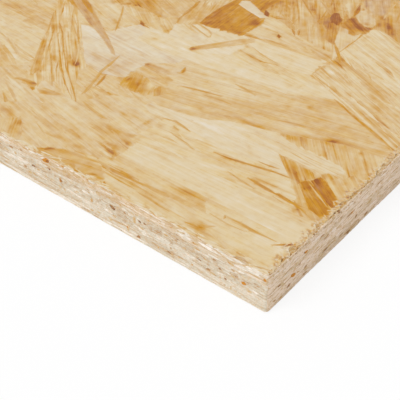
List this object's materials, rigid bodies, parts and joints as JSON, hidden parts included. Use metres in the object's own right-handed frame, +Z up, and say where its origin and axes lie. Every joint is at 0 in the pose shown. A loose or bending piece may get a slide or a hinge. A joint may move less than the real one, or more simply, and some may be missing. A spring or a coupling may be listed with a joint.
{
  "type": "osb panel",
  "caption": "Flat rectangular oriented strand board panel, pressed wood strands and resin, with square sawn edges.",
  "frame": {"origin": "middle of the panel's underside", "axes": "+X along the panel's long side, +Y along its short side, +Z up through its thickness"},
  "size_m": [2.44, 1.22, 0.018],
  "materials": {
    "strand_board": "unsanded pressed wood strands with a thin resin sheen"
  },
  "bodies": {
    "root": {"osb_panel": "strand_board"}
  },
  "joints": []
}
